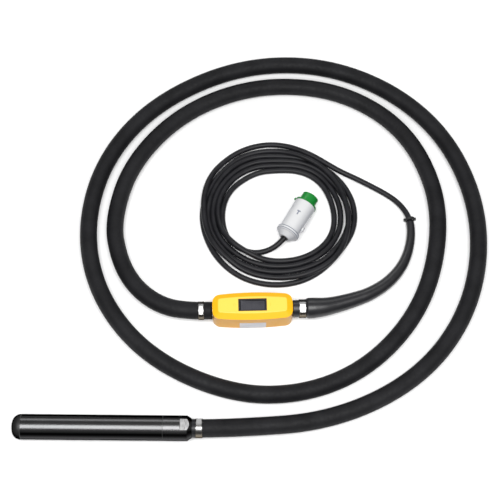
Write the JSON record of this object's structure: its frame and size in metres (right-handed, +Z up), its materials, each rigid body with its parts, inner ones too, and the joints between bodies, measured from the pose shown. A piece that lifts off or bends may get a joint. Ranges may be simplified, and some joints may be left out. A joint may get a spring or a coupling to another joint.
{
  "type": "internal concrete vibrator",
  "caption": "Electric internal concrete vibrator: steel vibrating head, long rubber hose, yellow switch box, tapered tail sleeve and coiled supply cable with a low-voltage plug.",
  "frame": {"origin": "on the floor below the middle of the box round the vibrating head and the switch box", "axes": "+X along the head's axis from its nose to its hose, +Z up"},
  "size_m": [1.0063, 0.9311, 0.058],
  "materials": {
    "head_steel": "dark polished steel",
    "coupling_steel": "dark polished steel with bright milled flats",
    "plain_steel": "machined steel",
    "clamp_steel": "bright stainless band",
    "bearing_steel": "ground steel",
    "laminated_steel": "stacked electrical sheet",
    "copper_winding": "enamelled copper wire",
    "contact_brass": "plain brass",
    "seal_rubber": "moulded rubber",
    "hose_rubber": "cloth-wrapped matte rubber",
    "sleeve_rubber": "smooth rubber, slight sheen",
    "cable_rubber": "neoprene cable sheath",
    "box_yellow": "moulded yellow plastic",
    "switch_black": "moulded black plastic",
    "terminal_plastic": "moulded grey plastic",
    "plate_metal": "blank satin label plate",
    "plug_white": "moulded light grey plastic",
    "plug_green": "moulded green plastic",
    "wire_insulation": "insulated leads"
  },
  "bodies": {
    "housing": {"nose_cap": "head_steel", "nose_seal": "seal_rubber", "head_tube": "head_steel", "rear_coupling": "coupling_steel", "coupling_seal": "seal_rubber", "head_hose_nipple": "plain_steel", "bearing_outer_races": "bearing_steel", "bearing_carriers": "plain_steel", "stator_core": "laminated_steel", "stator_windings": "copper_winding", "circlip": "plain_steel", "thermal_cutout": "switch_black", "motor_lead_wires": "wire_insulation", "head_clamp": "clamp_steel", "box_base": "box_yellow", "box_cover": "box_yellow", "box_gasket": "seal_rubber", "cover_screws": "plain_steel", "rating_plate": "plate_metal", "switch_bezel": "switch_black", "switch_housing": "switch_black", "rocker_pin": "plain_steel", "fixed_contacts": "contact_brass", "terminal_block": "terminal_plastic", "terminal_screws": "contact_brass", "left_hose_nipple": "plain_steel", "right_hose_nipple": "plain_steel", "left_nipple_nut": "plain_steel", "right_nipple_nut": "plain_steel", "left_clamp": "clamp_steel", "right_clamp": "clamp_steel", "protective_hose": "hose_rubber", "inner_power_cable": "cable_rubber", "tail_sleeve": "sleeve_rubber", "sleeve_tie": "seal_rubber", "cable_lead": "cable_rubber", "cable_tail": "cable_rubber", "cable_coil": "cable_rubber", "plug_gland_nut": "plug_white", "plug_gland_seal": "seal_rubber", "plug_clamp_ring": "plug_white", "plug_shell": "plug_white", "plug_shroud": "plug_green", "plug_pin_insert": "terminal_plastic", "plug_pins": "contact_brass", "plug_cord_clamp": "terminal_plastic"},
    "rotor": {"rotor_shaft": "plain_steel", "eccentric_weight": "plain_steel", "rotor_core": "laminated_steel", "bearing_inner_races": "bearing_steel"},
    "bearing_cage_set": {"bearing_cages": "contact_brass", "bearing_balls": "bearing_steel"},
    "switch_rocker": {"rocker": "switch_black", "moving_contacts": "contact_brass"}
  },
  "joints": [
    {"name": "rotor_spin", "type": "hinge", "parent": "housing", "child": "rotor", "pos_m": [-0.1377, -0.1332, 0.026], "axis": [1, 0, 0], "continuous": true},
    {"name": "cage_spin", "type": "hinge", "parent": "housing", "child": "bearing_cage_set", "pos_m": [-0.1377, -0.1332, 0.026], "axis": [1, 0, 0], "continuous": true},
    {"name": "rocker_tilt", "type": "hinge", "parent": "housing", "child": "switch_rocker", "pos_m": [0.1885, 0.1278, 0.047], "axis": [0.0332, -0.9995, 0], "range_deg": [0, 12]}
  ],
  "couplings": [
    {"joint": "cage_spin", "follows": "rotor_spin", "ratio": 0.4035}
  ]
}
